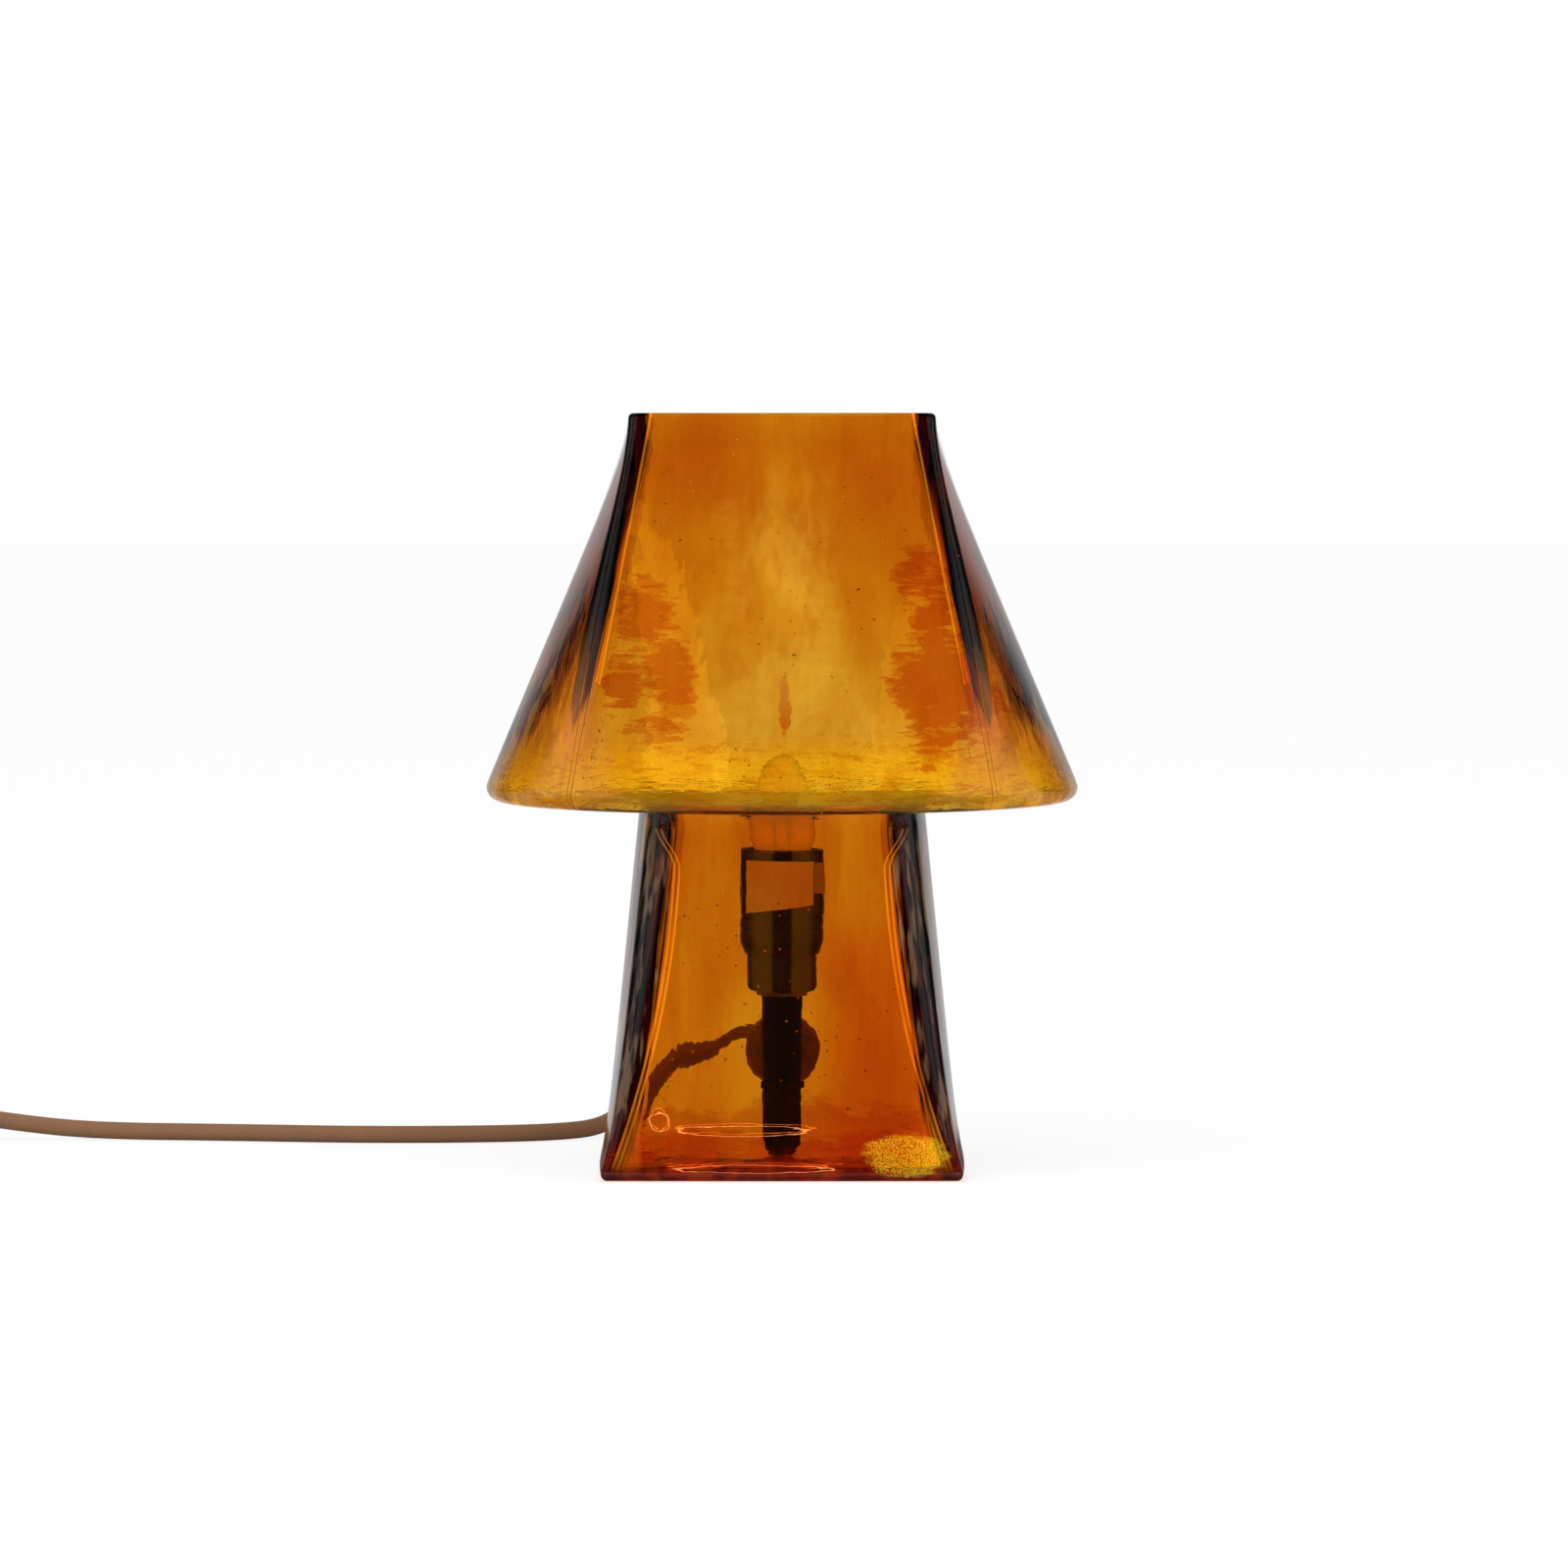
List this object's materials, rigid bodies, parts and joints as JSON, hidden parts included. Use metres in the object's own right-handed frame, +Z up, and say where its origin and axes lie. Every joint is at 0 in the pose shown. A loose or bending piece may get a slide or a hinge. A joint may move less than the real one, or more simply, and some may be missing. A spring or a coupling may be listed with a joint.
{
  "type": "table lamp",
  "caption": "Amber blown-glass table lamp, a square-topped round-rimmed shade and flared square foot in one piece, with candelabra socket, bulb, cord, switch and plug.",
  "frame": {"origin": "middle of the underside of the glass foot, on the table", "axes": "+Z up, -Y towards the front, the cord leaves at +Y and runs off to -X"},
  "size_m": [0.485, 0.2278, 0.254],
  "materials": {
    "amber_glass": "clear amber blown glass, fire-polished rim",
    "frosted_glass": "inside-frosted bulb glass",
    "clear_glass": "clear glass",
    "nickel": "nickel-plated, dull",
    "tungsten": "bare wire",
    "black_glass": "black glass insulator",
    "solder": "tinned",
    "black_phenolic": "moulded phenolic, satin",
    "core_phenolic": "moulded phenolic, matt",
    "brass": "stamped brass",
    "steel": "zinc-plated",
    "black_steel": "black paint, satin",
    "black_rubber": "moulded rubber",
    "brown_rubber": "dark brown rubber",
    "wire_jacket": "insulated wire",
    "brown_cord": "round brown mains cord",
    "switch_plastic": "fine-grained moulded plastic",
    "rocker_plastic": "smooth moulded plastic",
    "tie_plastic": "soft plastic"
  },
  "bodies": {
    "lamp": {"glass_body": "amber_glass", "tee_fitting": "black_steel", "foot_bumper": "black_rubber", "stem_nipple": "steel", "stem_sleeve": "black_steel", "stem_washer": "brass", "socket_cap": "black_phenolic", "cap_set_screw": "steel", "socket_sleeve": "black_phenolic", "socket_core": "core_phenolic", "socket_screw_shell": "brass", "socket_center_contact": "brass", "terminal_screws": "brass", "arm_nipple": "steel", "inner_nut": "steel", "inner_washer": "steel", "inner_seal": "brown_rubber", "outer_seal": "brown_rubber", "outer_washer": "steel", "outer_nut": "steel", "strain_relief": "brown_rubber", "socket_leads": "wire_jacket", "power_cord": "brown_cord", "cord_coil": "brown_cord", "coil_tie": "tie_plastic", "switch_lower_shell": "switch_plastic", "switch_upper_shell": "switch_plastic", "switch_screws": "steel", "switch_contacts": "brass", "switch_wires": "wire_jacket", "plug_body": "switch_plastic", "plug_blades": "brass"},
    "bulb": {"bulb_envelope": "frosted_glass", "bulb_mount": "clear_glass", "bulb_filament": "tungsten", "bulb_screw_base": "nickel", "bulb_insulator": "black_glass", "bulb_tip_contact": "solder"},
    "rocker": {"switch_rocker": "rocker_plastic"}
  },
  "joints": [
    {"name": "bulb_lift", "type": "slide", "parent": "lamp", "child": "bulb", "axis": [0, 0, 1], "range_m": [0, 0.17]},
    {"name": "switch_rock", "type": "hinge", "parent": "lamp", "child": "rocker", "pos_m": [-0.314, 0.0823, 0.0126], "axis": [0, 1, 0], "range_deg": [0, 24]}
  ]
}
